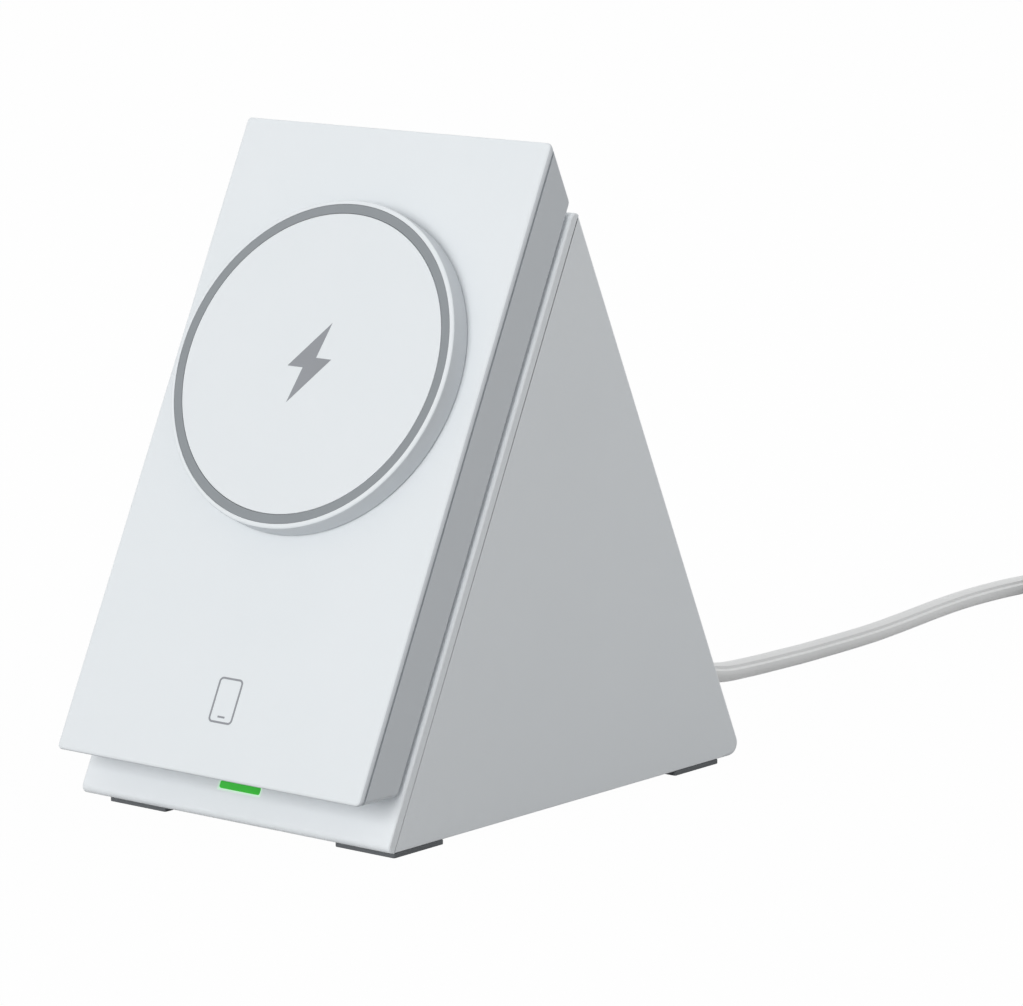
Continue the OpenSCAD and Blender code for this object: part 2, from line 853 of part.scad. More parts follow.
module panel_shell() {
    color(panel_white)
        on_panel()
            difference() {
                union() {
                    difference() {
                        intersection() {
                            side(panel_w)
                                panel_outline();
                            translate([0, panel_t + cut, panel_l / 2])
                                rotate([90, 0, 0])
                                    linear_extrude(panel_t + 2 * cut)
                                        round_rect([panel_w, panel_l], corner_r);
                        }
                        side(panel_w - 2 * wall)
                            panel_cavity(wall);
                    }
                    for (p = panel_screw_spots)
                        bar(face_t - root, panel_t - back_t, panel_boss_d, p.x, p.y);
                    for (x = [-hinge_x, hinge_x])
                        translate([x - hinge_half, face_t - root, leaf_s0])
                            cube([2 * hinge_half, leaf_pad_t + root, leaf_l]);
                }
                bar(-cut, panel_t, 2 * spigot_r + 2 * fit, 0, puck_s);
                for (p = panel_screw_spots)
                    bar(panel_tip_t - screw_room, panel_t, small_screw_d, p.x, p.y);
                for (p = leaf_spots)
                    bar(leaf_tip_t - screw_room, panel_t, small_screw_d, p.x, p.y);
                for (x = [-hinge_x, hinge_x])
                    hinge_notch(x);
                phone_icon(icon_t + cut, cut);
            }
}

module panel_back() {
    w = panel_w - 2 * wall - 2 * fit;
    t0 = panel_t - back_t;
    gap = wall + fit;
    color(panel_white)
        on_panel()
            difference() {
                union() {
                    side(w)
                        intersection() {
                            panel_cavity(gap);
                            translate([t0, 0])
                                square([back_t, panel_l]);
                        }
                    for (x = [-1, 1], s = phone_board_s)
                        bar(t0 - phone_board_gap, t0 + root, post_d,
                            x * (phone_board_w / 2 - 3), s + (s < puck_s ? 3 : -3));
                }
                for (p = panel_screw_spots) {
                    bar(t0 - cut, panel_t + cut, small_screw_d + 2 * fit, p.x, p.y);
                    bar(panel_t - head_sink, panel_t + cut, small_head_d + 2 * fit, p.x, p.y);
                }
                for (x = [-hinge_x, hinge_x])
                    translate([x - notch_half, 0, notch_s])
                        cube([2 * notch_half, panel_t + cut, panel_l]);
                translate([-5, 0, flex_s[0]])
                    cube([10, panel_t + cut, flex_s[1] - flex_s[0]]);
            }
}

module panel_screws() {
    on_panel()
        small_screws(panel_screw_spots, panel_t - head_sink, panel_tip_t);
}

// Steel leaves with two cheeks each, screwed inside the panel's face
module hinge_leaves() {
    leaf_t1 = leaf_t0 + leaf_t;
    k = lug_r / sqrt(2);
    color(steel)
        on_panel()
            difference() {
                union()
                    for (x = [-hinge_x, hinge_x]) {
                        translate([x - hinge_half, leaf_t0, leaf_s0])
                            cube([2 * hinge_half, leaf_t, leaf_l]);
                        for (m = [-1, 1])
                            side(cheek_w, x + m * (hinge_half - cheek_w / 2)) {
                                translate([hinge_t, hinge_s])
                                    circle(lug_r);
                                polygon([
                                    [leaf_t0, leaf_s0 + 5], [leaf_t0, hinge_s], [hinge_t - k, hinge_s + k],
                                    [hinge_t + k, hinge_s - k], [leaf_t1 + 1, leaf_s0 + 5]]);
                            }
                    }
                for (x = [-hinge_x, hinge_x])
                    translate([x, hinge_t, hinge_s])
                        rotate([0, 90, 0])
                            cylinder(h = 2 * hinge_half + cut, d = pin_d, center = true);
                for (p = leaf_spots)
                    bar(leaf_t0 - cut, leaf_t1 + cut, small_screw_d + 2 * fit, p.x, p.y);
            }
}

module leaf_screws() {
    on_panel()
        small_screws(leaf_spots, leaf_t0 + leaf_t, leaf_tip_t);
}

module hinge_pins() {
    color(steel)
        on_panel()
            for (x = [-hinge_x, hinge_x])
                translate([x - hinge_half, hinge_t, hinge_s])
                    rotate([0, 90, 0]) {
                        cylinder(h = 2 * hinge_half, d = pin_d);
                        for (z = [-pin_head, 2 * hinge_half])
                            translate([0, 0, z])
                                cylinder(h = pin_head, d = 1.6 * pin_d);
                    }
}

module hinge_washers() {
    d = 2 * lug_r - 0.4;
    color(steel)
        on_panel()
            for (x = [-hinge_x, hinge_x], m = [-1, 1])
                translate([x + m * (hinge_half - cheek_w - washer_t / 2), hinge_t, hinge_s])
                    rotate([0, 90, 0])
                        difference() {
                            cylinder(h = washer_t, d = d, center = true);
                            cylinder(h = washer_t + cut, d = pin_d + 2 * run_fit, center = true);
                        }
}

// Phone puck

module puck_rim() {
    chamfer = 0.7;
    top = -puck_h;
    color(panel_white)
        on_panel()
            turned(puck_s)
                polygon([
                    [puck_r, 0], [puck_r, top + chamfer], [puck_r - chamfer, top], [ring_r, top],
                    [ring_r, top + ring_t], [disc_r, top + ring_t], [disc_r, top + disc_t],
                    [web_r, top + disc_t], [web_r, array_t0 - 0.05], [magnet_r + 0.2, array_t0 - 0.05],
                    [magnet_r + 0.2, spigot_t], [spigot_r, spigot_t], [spigot_r, 0]]);
}

// Zigzag of a lightning bolt, the upper half turned about the centre for the lower
module bolt_outline() {
    upper = [[2.4, 7.25], [-4.4, -0.95], [-1.1, -0.95]];
    polygon(concat(upper, [for (p = upper) -p]));
}

module bolt_depth(t0, t1) {
    translate([0, t1, puck_s])
        rotate([90, 0, 0])
            linear_extrude(t1 - t0)
                bolt_outline();
}

module puck_face() {
    color(panel_white)
        on_panel()
            difference() {
                bar(-puck_h, -puck_h + disc_t, 2 * disc_r - run_fit, 0, puck_s);
                bolt_depth(-puck_h - cut, -puck_h + bolt_t);
            }
}

module bolt_mark() {
    color(ring_grey)
        on_panel()
            bolt_depth(-puck_h, -puck_h + bolt_t);
}

module grip_ring() {
    color(ring_grey)
        on_panel()
            washer(-puck_h, -puck_h + ring_t, 2 * ring_r, 2 * disc_r, 0, puck_s);
}

// Outline of a phone with a short bar at its foot, sunk from the panel's face to depth t
module phone_icon(t, lift = 0) {
    size = [4.7, 7.5];
    line = 0.32;
    r = 0.9;
    translate([0, t - lift, mark_s])
        rotate([90, 0, 0])
            linear_extrude(t) {
                difference() {
                    round_rect(size, r);
                    round_rect(size - 2 * line * [1, 1], r - line);
                }
                translate([0, 1.1 - size.y / 2])
                    square([1.5, line], center = true);
            }
}

module phone_mark() {
    color(ring_grey)
        on_panel()
            phone_icon(icon_t);
}

// Ring of magnets with alternating gaps
module phone_magnets() {
    step = 360 / magnet_n;
    color(steel)
        on_panel()
            for (i = [0:magnet_n - 1])
                translate([0, 0, puck_s])
                    rotate([0, step * i, 0])
                        turned(0, step - 2)
                            translate([magnet_r - magnet_w, array_t0])
                                square([magnet_w, magnet_t]);
}

module magnet_yoke() {
    t0 = array_t0 + magnet_t;
    color(steel)
        on_panel()
            washer(t0, t0 + yoke_t, 2 * magnet_r, 2 * (magnet_r - magnet_w), 0, puck_s);
}

module phone_coil() {
    color(copper)
        on_panel()
            washer(coil_t0, coil_t0 + coil_wire, 2 * coil_r, coil_r, 0, puck_s);
}

module phone_ferrite() {
    t0 = coil_t0 + coil_wire + 0.05;
    color(ferrite)
        on_panel()
            bar(t0, t0 + sheet_t, 2 * coil_r + 0.4, 0, puck_s);
}

// Moulded disc that presses the coil and the magnets into the rim
module coil_carrier() {
    t0 = coil_t0 + coil_wire + sheet_t + 0.1;
    color("#cfd3d6")
        on_panel() {
            bar(t0, carrier_t0 + 0.1, 2 * coil_r - 2, 0, puck_s);
            bar(carrier_t0, carrier_t0 + 1.2, 2 * magnet_r + 0.2, 0, puck_s);
        }
}

module phone_board() {
    t1 = panel_t - back_t - phone_board_gap;
    s0 = phone_board_s[0];
    color(board_green)
        on_panel()
            translate([-phone_board_w / 2, t1 - phone_board_t, s0])
                cube([phone_board_w, phone_board_t, phone_board_s[1] - s0]);
}

module phone_chips() {
    t1 = panel_t - back_t - phone_board_gap - phone_board_t;
    h = 1.1;
    s0 = phone_board_s[0];
    color("#303236")
        on_panel() {
            for (x = [-12, -4, 4])
                translate([x, t1 - h, s0 + 30])
                    cube([5, h, 5]);
            translate([-8, t1 - h, s0 + 14])
                cube([7, h, 7]);
            translate([6, t1 - h, s0 + 12])
                cube([4, h, 10]);
        }
}

// Ribbon cable from the phone board out to the hinge line
module panel_flex() {
    t = panel_t - back_t - phone_board_gap + 0.15;
    color("#d6b36a")
        on_panel()
            side(8)
                strip([
                    [t, phone_board_s[1] - 6], [t, flex_s[0] + 0.8],
                    [panel_t - 0.3, flex_s[0] + 2.4]], 0.3);
}

// Supply

// Metal tongue of a plug, its mouth at the origin and pointing to -Y
module plug_tongue() {
    color(steel)
        rotate([-90, 0, 0])
            difference() {
                translate([0, 0, -plug_size.y])
                    linear_extrude(plug_size.y)
                        round_rect([plug_size.x, plug_size.z], 1.1);
                translate([0, 0, -plug_size.y - cut])
                    linear_extrude(plug_size.y - 0.5 + cut)
                        round_rect([plug_size.x - 0.7, plug_size.z - 0.7], 0.8);
            }
}

// Moulded grip with a tapered strain relief, from the origin towards +Y
module plug_body() {
    color(stand_white)
        rotate([-90, 0, 0]) {
            linear_extrude(grip_size.y)
                round_rect([grip_size.x, grip_size.z], 2);
            translate([0, 0, grip_size.y])
                cylinder(h = relief_l, d1 = relief_d, d2 = cable_d);
        }
}

module in_port() {
    translate([0, plug_y, socket_z])
        children();
}

module at_far_end() {
    translate(far_plug_at)
        children();
}

module plug_shell() {
    in_port()
        plug_tongue();
}

module plug_grip() {
    in_port()
        plug_body();
}

module far_plug_shell() {
    at_far_end()
        plug_tongue();
}

module far_plug_grip() {
    at_far_end()
        plug_body();
}

// Tube swept along the route with a ring of corners at each of its points
module swept(path, r, sides = 8) {
    n = len(path);
    ahead = [for (i = [0:n - 1]) unit(path[min(i + 1, n - 1)] - path[max(i - 1, 0)])];
    across = [for (a = ahead) unit(cross(a, [0, 0, 1]))];
    rings = [for (i = [0:n - 1], k = [0:sides - 1])
        let (a = 360 * (k + 0.5) / sides, up = cross(across[i], ahead[i]))
        path[i] + r * (cos(a) * across[i] + sin(a) * up)];
    walls = [for (i = [0:n - 2], k = [0:sides - 1])
        let (j = (k + 1) % sides)
        [i * sides + k, i * sides + j, (i + 1) * sides + j, (i + 1) * sides + k]];
    caps = [[for (k = [sides - 1:-1:0]) k], [for (k = [0:sides - 1]) (n - 1) * sides + k]];
    polyhedron(rings, concat(walls, caps), convexity = 6);
}

module cable() {
    color(stand_white)
        swept(cable_path, cable_r);
}

// Outer shape of the wound length
module cable_coil() {
    color(stand_white)
        translate([coil_at.x, coil_at.y, 0])
            rotate_extrude($fn = 96)
                translate([coil_in, 0])
                    square([coil_out - coil_in, coil_rows * cable_d]);
}

// Strap round the wound length
module cable_tie() {
    band = 1;
    w = 8;
    h = coil_rows * cable_d;
    color(rubber_grey)
        translate([coil_at.x, coil_at.y, 0])
            difference() {
                translate([coil_in - band, -w / 2, 0])
                    cube([coil_out - coil_in + 2 * band, w, h + band]);
                rotate_extrude($fn = 96)
                    translate([coil_in - fit, -cut])
                        square([coil_out - coil_in + 2 * fit, h + fit + cut]);
            }
}

main_shell();
front_cover();
base_plate();
ballast_plate();
base_screws();
foot_front_right();
foot_front_left();
foot_rear_right();
foot_rear_left();
main_board();
board_parts();
usb_socket();
status_light();
light_board();
stand_flex();
hinge_bracket();
bracket_screws();
watch_puck();
watch_dish();
watch_magnet();
watch_coil();
watch_ferrite();
earbud_pad();
earbud_coil();
earbud_ferrite();
panel_shell();
panel_back();
panel_screws();
hinge_leaves();
leaf_screws();
hinge_pins();
hinge_washers();
puck_rim();
puck_face();
grip_ring();
bolt_mark();
phone_mark();
phone_magnets();
magnet_yoke();
phone_coil();
phone_ferrite();
coil_carrier();
phone_board();
phone_chips();
panel_flex();
plug_shell();
plug_grip();
cable();
cable_coil();
cable_tie();
far_plug_shell();
far_plug_grip();
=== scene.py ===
# Three in one wireless charger: the looks of its stand, phone panel, rear chargers and cord.
# Lengths in the dictionaries are millimetres, as in the CAD, and become metres on the way in.
import math

import bmesh
import bpy
from mathutils import Matrix, Quaternion, Vector


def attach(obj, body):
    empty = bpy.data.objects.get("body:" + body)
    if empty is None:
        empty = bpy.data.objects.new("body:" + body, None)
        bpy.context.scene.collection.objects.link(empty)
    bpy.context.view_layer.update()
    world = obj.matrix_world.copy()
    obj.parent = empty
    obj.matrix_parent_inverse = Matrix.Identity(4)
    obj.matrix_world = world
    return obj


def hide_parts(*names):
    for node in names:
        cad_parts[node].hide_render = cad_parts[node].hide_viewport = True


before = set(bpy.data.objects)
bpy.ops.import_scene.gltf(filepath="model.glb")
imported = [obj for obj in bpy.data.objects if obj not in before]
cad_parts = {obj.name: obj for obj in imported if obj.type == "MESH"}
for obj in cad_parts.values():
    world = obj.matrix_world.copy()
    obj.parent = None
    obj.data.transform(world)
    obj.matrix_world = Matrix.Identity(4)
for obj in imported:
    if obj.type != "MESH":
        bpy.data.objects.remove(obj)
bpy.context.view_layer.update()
mm = 0.001
joinWithin = 1e-4  # points of a mesh in mm nearer than this become one
print("frame loaded:", len(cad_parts), "nodes")


# Camera, at the place fitted to the photograph's edges
camera = {"place": (517.36, -638.243, 192.133), "turn": 37.768, "down": 9.882, "roll": 0.607, "lens": 171.0}


def placeCamera():
    turn, down, roll = (math.radians(camera[part]) for part in ("turn", "down", "roll"))
    ahead = Vector((-math.sin(turn) * math.cos(down), math.cos(turn) * math.cos(down), -math.sin(down)))
    lens = bpy.data.cameras.new("camera")
    lens.lens = camera["lens"]
    lens.clip_start, lens.clip_end = 0.01, 20
    body = bpy.data.objects.new("camera", lens)
    body.location = Vector(camera["place"]) * mm
    body.rotation_mode = "QUATERNION"
    body.rotation_quaternion = ahead.to_track_quat("-Z", "Y") @ Quaternion((0, 0, 1), roll)
    bpy.context.scene.collection.objects.link(body)
    bpy.context.scene.camera = body


placeCamera()
bpy.context.scene.view_settings.view_transform = "Standard"


# Materials

def fromHex(text):  # sRGB hex to linear
    parts = [int(text[i:i + 2], 16) / 255 for i in (1, 3, 5)]
    return tuple(p / 12.92 if p <= 0.04045 else ((p + 0.055) / 1.055) ** 2.4 for p in parts) + (1,)


def addNode(tree, kind, settings=None, links=None):
    node = tree.nodes.new(kind)
    for name, value in (settings or {}).items():
        if name in node.inputs:
            node.inputs[name].default_value = value
        else:
            setattr(node, name, value)
    for name, source in (links or {}).items():
        tree.links.new(source, node.inputs[name])
    return node


def newMaterial(name, settings):
    material = bpy.data.materials.new(name)
    material.use_nodes = True
    shader = material.node_tree.nodes["Principled BSDF"]
    for key, value in settings.items():
        shader.inputs[key].default_value = value
    return material, material.node_tree, shader


def grained(name, tint, shade, grain, depth, cloud, settings, stretch=(1, 1, 1)):
    # a moulded or rolled surface: grain and cloud are widths in mm, depth is the grain's height in mm
    material, tree, shader = newMaterial(name, settings)
    place = addNode(tree, "ShaderNodeTexCoord").outputs["Object"]
    if stretch != (1, 1, 1):
        place = addNode(tree, "ShaderNodeMapping", {"Scale": stretch}, {"Vector": place}).outputs["Vector"]
    drift = addNode(tree, "ShaderNodeTexNoise", {"Scale": 1 / (cloud * mm), "Detail": 2.0}, {"Vector": place})
    mix = addNode(tree, "ShaderNodeMix", {"data_type": "RGBA"}, {"Factor": drift.outputs["Fac"]})
    for slot in mix.inputs:
        if slot.type == "RGBA":
            slot.default_value = fromHex(tint if slot.name == "A" else shade)
    tree.links.new([o for o in mix.outputs if o.type == "RGBA"][0], shader.inputs["Base Color"])
    pits = addNode(tree, "ShaderNodeTexNoise", {"Scale": 1 / (grain * mm), "Detail": 3.0}, {"Vector": place})
    bump = addNode(tree, "ShaderNodeBump", {"Strength": 1.0, "Distance": depth * mm},
                   {"Height": pits.outputs["Fac"]})
    tree.links.new(bump.outputs["Normal"], shader.inputs["Normal"])
    return material


# ABS, moulded on a finely spark-eroded tool: a soft even sheen with a barely visible grain
panelAbs = grained("ABS, fine spark texture, cool white", "#E6EAED", "#E3E8EB", 0.35, 0.002, 22,
                   {"Roughness": 0.48, "IOR": 1.53, "Specular IOR Level": 0.2})
# the same ABS on the casing's large sides, where the tool's texture is a little rougher
standAbs = grained("ABS, fine spark texture, white", "#E6EAED", "#E3E7EA", 0.35, 0.002, 26,
                   {"Roughness": 0.5, "IOR": 1.53, "Specular IOR Level": 0.2})
# the front cover's ABS painted lighter than the casing's, painted light so that its foot stays bright under the
# panel, in the panel's shade
coverAbsPaintedLight = grained("ABS, fine spark texture, white, painted light", "#F1F5F8", "#EEF2F5", 0.35, 0.002, 26,
                   {"Roughness": 0.5, "IOR": 1.53, "Specular IOR Level": 0.2})
# ABS in a pale grey, for the panel's back and as painted shade: the panel's sides, the back of its rounded edge
# and the puck's wall lie in shade and are plainly darker than its face
greyAbsAndPaintedShade = grained("ABS, fine spark texture, pale grey, painted shade", "#CDD1D5", "#C9CED2", 0.35, 0.002, 24,
                   {"Roughness": 0.5, "IOR": 1.53, "Specular IOR Level": 0.2})
# ABS polished on the tool: the puck's face is smoother than the panel round it
discAbs = grained("ABS, satin polished, white", "#E4E8EB", "#E1E6E9", 0.5, 0.001, 18,
                  {"Roughness": 0.3, "IOR": 1.53, "Specular IOR Level": 0.4})
# silicone rubber, pressed: a dull grey that takes no highlight
gripSilicone = grained("silicone rubber, mid grey", "#92979B", "#8D9296", 0.25, 0.004, 8,
                       {"Roughness": 0.75, "IOR": 1.43, "Specular IOR Level": 0.3})
# pad printing ink: flat and slightly cooler than the silicone
markInk = grained("pad printing ink, cool grey", "#92959B", "#8E9195", 0.3, 0.001, 5,
                  {"Roughness": 0.6, "IOR": 1.48})
# rubber, die cut: dark dull grey with a pressed grain
footRubber = grained("nitrile rubber, dark grey", "#6C6F72", "#626568", 0.4, 0.01, 4,
                     {"Roughness": 0.85, "IOR": 1.52, "Specular IOR Level": 0.25})
# TPE, extruded over the wires: a soft white jacket, a little uneven along its length
jacketTpe = grained("TPE cable jacket, soft white", "#F7F8F8", "#F1F2F2", 1.2, 0.01, 14,
                    {"Roughness": 0.55, "IOR": 1.5, "Specular IOR Level": 0.35})
# steel, zinc plated: a plain bright metal with fine rolling lines
platedSteel = grained("zinc plated steel", "#B9BCC0", "#A9ADB1", 0.3, 0.004, 6,
                      {"Metallic": 1.0, "Roughness": 0.32}, (1, 1, 6))
# copper, enamelled wire wound flat: warm metal with the sheen of its varnish
woundCopper = grained("enamelled copper wire", "#B8703A", "#9E5C2C", 0.4, 0.02, 3,
                      {"Metallic": 0.9, "Roughness": 0.35, "Coat Weight": 0.5})
# ferrite, sintered: nearly black with a dusty surface
sinteredFerrite = grained("sintered ferrite", "#35363A", "#2C2D30", 0.3, 0.01, 3, {"Roughness": 0.8})
# glass-epoxy board under solder mask: deep green, smooth and slightly glossy
boardLaminate = grained("glass-epoxy laminate, green mask", "#1F5A3C", "#1A4E34", 0.6, 0.004, 4,
                        {"Roughness": 0.35, "IOR": 1.55})
# epoxy moulding compound: the matt black of component bodies
chipEpoxy = grained("epoxy moulding compound, black", "#26272A", "#1F2022", 0.3, 0.006, 2,
                    {"Roughness": 0.6})
# polyimide film over copper tracks: amber and slightly shiny
flexFilm = grained("polyimide film, amber", "#B9822E", "#A87227", 0.5, 0.003, 3, {"Roughness": 0.35})
# polycarbonate light guide, lit from behind by green LEDs
lightGuide = grained("polycarbonate light guide, lit green", "#229622", "#3CAA3C", 0.6, 0.002, 2.5,
                     {"Roughness": 0.35, "IOR": 1.58, "Emission Color": fromHex("#28A028"),
                      "Emission Strength": 0.55})


# the light bar's front and how far its painted glow reaches into the cover round it
bleed = {"at": (0, -43, 6.545), "half": (4.4, 9, 0.587), "reach": 0.45, "strength": 0.4, "tint": "#50E650"}


# painted light: the cover's white plastic emits a green glow that fades with distance from the light bar
def letGlow(material, glow):  # light that bleeds from the guide into the white plastic round it
    tree = material.node_tree
    shader = tree.nodes["Principled BSDF"]
    away = addNode(tree, "ShaderNodeTexCoord").outputs["Object"]
    for operation, by in (("SUBTRACT", glow["at"]), ("ABSOLUTE", None), ("SUBTRACT", glow["half"]),
                          ("MAXIMUM", (0, 0, 0))):
        step = addNode(tree, "ShaderNodeVectorMath", {"operation": operation})
        tree.links.new(away, step.inputs[0])
        if by:
            step.inputs[1].default_value = [length * mm for length in by]
        away = step.outputs["Vector"]
    length = addNode(tree, "ShaderNodeVectorMath", {"operation": "LENGTH"})
    tree.links.new(away, length.inputs[0])
    fade = addNode(tree, "ShaderNodeMapRange",
                   {"From Min": 0.0, "From Max": glow["reach"] * mm, "To Min": glow["strength"], "To Max": 0.0},
                   {"Value": length.outputs["Value"]})
    shader.inputs["Emission Color"].default_value = fromHex(glow["tint"])
    tree.links.new(fade.outputs["Result"], shader.inputs["Emission Strength"])


letGlow(coverAbsPaintedLight, bleed)

nodeMaterials = {
    "main_shell": standAbs, "front_cover": standAbs, "base_plate": standAbs, "ballast_plate": platedSteel,
    "base_screws": platedSteel, "main_board": boardLaminate, "board_parts": chipEpoxy,
    "usb_socket": platedSteel, "status_light": lightGuide, "light_board": boardLaminate,
    "stand_flex": flexFilm, "hinge_bracket": platedSteel, "bracket_screws": platedSteel,
    "watch_puck": panelAbs, "watch_dish": discAbs, "watch_magnet": platedSteel, "watch_coil": woundCopper,
    "watch_ferrite": sinteredFerrite, "earbud_pad": gripSilicone, "earbud_coil": woundCopper,
    "earbud_ferrite": sinteredFerrite, "panel_shell": panelAbs, "panel_back": greyAbsAndPaintedShade,
    "panel_screws": platedSteel, "hinge_leaves": platedSteel, "leaf_screws": platedSteel,
    "hinge_pins": platedSteel, "hinge_washers": platedSteel, "puck_rim": panelAbs, "puck_face": discAbs,
    "grip_ring": gripSilicone, "bolt_mark": markInk, "phone_mark": markInk, "phone_magnets": platedSteel,
    "magnet_yoke": platedSteel, "phone_coil": woundCopper, "phone_ferrite": sinteredFerrite,
    "coil_carrier": standAbs, "phone_board": boardLaminate, "phone_chips": chipEpoxy,
    "panel_flex": flexFilm, "plug_shell": platedSteel, "plug_grip": jacketTpe, "cable_tie": gripSilicone,
    "far_plug_shell": platedSteel, "far_plug_grip": jacketTpe,
    "foot_front_right": footRubber, "foot_front_left": footRubber, "foot_rear_right": footRubber,
    "foot_rear_left": footRubber}


def dressNodes():
    for name, material in nodeMaterials.items():
        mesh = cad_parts[name].data
        mesh.materials.clear()
        mesh.materials.append(material)


dressNodes()
print("materials made:", len(bpy.data.materials))


# Frame of the panel: x across, y into the panel, z up its slope
slopes = {"lean": 25.4, "panelFoot": (0, -52.6182, 9.8)}
panelFrame = (Matrix.Scale(mm, 4) @ Matrix.Translation(slopes["panelFoot"])
              @ Matrix.Rotation(-math.radians(slopes["lean"]), 4, "X"))


def finishPiece(bm, name, body, materials, replaced, sharp=35, softEdges=None):
    mesh = bpy.data.meshes.new(name)
    bm.to_mesh(mesh)
    bm.free()
    mesh.shade_smooth()
    mesh.set_sharp_from_angle(angle=math.radians(sharp))
    for material in materials:
        mesh.materials.append(material)
    piece = bpy.data.objects.new(name, mesh)
    bpy.context.scene.collection.objects.link(piece)
    if softEdges:
        soft = piece.modifiers.new("edges", "BEVEL")
        soft.limit_method, soft.use_clamp_overlap = "WEIGHT", False
        soft.width, soft.segments = softEdges * mm, 4
        soft.material = len(materials) - 1
    even = piece.modifiers.new("even shading", "WEIGHTED_NORMAL")
    even.keep_sharp = True
    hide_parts(*replaced)
    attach(piece, body)
    return piece


def settle(bm, place):  # to its place, closed and facing outwards
    bmesh.ops.remove_doubles(bm, verts=bm.verts, dist=joinWithin)
    bmesh.ops.transform(bm, matrix=place, verts=bm.verts)
    bmesh.ops.recalc_face_normals(bm, faces=bm.faces)


def roundOff(bm, edges, offset, segments=4):
    bmesh.ops.bevel(bm, geom=edges, offset=offset, offset_type="OFFSET", segments=segments, profile=0.5,
                    affect="EDGES", clamp_overlap=False, material=-1)


def edgesWhere(bm, test):  # test takes both ends of an edge
    return [e for e in bm.edges if test(e.verts[0].co, e.verts[1].co)]


def near(value, target, reach=0.01):
    return abs(value - target) < reach


def turnedProfile(profile, steps=128):  # radius and depth, turned about the depth axis
    bm = bmesh.new()
    verts = [bm.verts.new((r, depth, 0)) for r, depth in profile]
    edges = [bm.edges.new(pair) for pair in zip(verts, verts[1:] + verts[:1])]
    bmesh.ops.spin(bm, geom=verts + edges, cent=(0, 0, 0), axis=(0, 1, 0), angle=math.tau, steps=steps,
                   use_merge=True)
    bmesh.ops.remove_doubles(bm, verts=bm.verts, dist=joinWithin)
    bmesh.ops.delete(bm, geom=[e for e in bm.edges if not e.link_faces], context="EDGES")
    return bm


def ringEdges(bm, radius, depth):  # edges of one circle of a turned piece
    return edgesWhere(bm, lambda a, b: all(near(math.hypot(v.x, v.z), radius) and near(v.y, depth)
                                           for v in (a, b)))


def prism(points, wide):  # side view points (depth, height) drawn across by a width
    bm = bmesh.new()
    face = bm.faces.new([bm.verts.new((-wide / 2, depth, height)) for depth, height in points])
    made = bmesh.ops.extrude_face_region(bm, geom=[face])["geom"]
    bmesh.ops.translate(bm, vec=(wide, 0, 0), verts=[v for v in made if isinstance(v, bmesh.types.BMVert)])
    bmesh.ops.recalc_face_normals(bm, faces=bm.faces)
    return bm


def holdBriefly(bm, name):
    mesh = bpy.data.meshes.new(name)
    bm.to_mesh(mesh)
    bm.free()
    body = bpy.data.objects.new(name, mesh)
    bpy.context.scene.collection.objects.link(body)
    return body


def cutAway(bm, cutters):  # the mesh less each closed cutter
    body = holdBriefly(bm, "blank")
    tools = [holdBriefly(cutter, "cutter") for cutter in cutters]
    for tool in tools:
        cutting = body.modifiers.new("cut", "BOOLEAN")
        cutting.object, cutting.operation, cutting.solver = tool, "DIFFERENCE", "EXACT"
    left = bmesh.new()
    left.from_object(body, bpy.context.evaluated_depsgraph_get())
    for spent in [body, *tools]:
        bpy.data.meshes.remove(spent.data)
    bmesh.ops.remove_doubles(left, verts=left.verts, dist=joinWithin)
    bmesh.ops.holes_fill(left, edges=[e for e in left.edges if len(e.link_faces) == 1])
    return left


# Cord: the route of part.scad's cable, then the wound length and the way out to the far plug
cord = {
    "across": 3.8, "sides": 24, "groove": 0.2, "grooveAt": 20, "step": 1.5, "lift": 0.05,
    "route": [
        (0, 67, 8.8), (0, 70, 8.8), (0, 74, 8.5), (-0.1, 79, 7.6), (-0.3, 84, 6.3), (-0.6, 89, 5),
        (-1, 94, 4), (-1.5, 98.5, 3.4), (-2.1, 104, 3), (-2.8, 111, 2.6), (-3.4, 119, 2.3),
        (-3.9, 127, 2.05), (-4.3, 134, 1.95), (-4.6, 144, 1.95), (-5.2, 154, 1.95), (-6.4, 164, 1.95),
        (-7.8, 174, 1.95), (-9.2, 184, 1.95), (-10.2, 194, 1.95), (-10.5, 203, 1.95), (-10.2, 212, 1.95),
        (-9.2, 221, 1.95), (-8.3, 228, 1.95), (-8, 232, 1.95)],
    "coilAt": (18.1, 232), "columns": 4, "middle": 20.4, "perTurn": 32,
    # turn, column from the inside, row: the winding goes in along the table and out on top of itself
    "winding": [
        (0, 3, 0), (0.25, 2, 0), (1, 2, 0), (1.25, 1, 0), (2, 1, 0), (2.25, 0, 0), (2.75, 0, 0),
        (3, 0, 1), (3.5, 0, 1), (3.75, 1, 1), (4.5, 1, 1), (4.75, 2, 1), (5.25, 2, 1),
        (5.5, 3, 0), (5.75, 3, 0), (6, 3, 1), (6.25, 3, 1), (6.5, 3, 0)],
    "wayOut": [(44.2, 228.5, 2.1), (44.2, 225, 2.6), (44.2, 222.06, 2.8)],
    "length": 1.0}


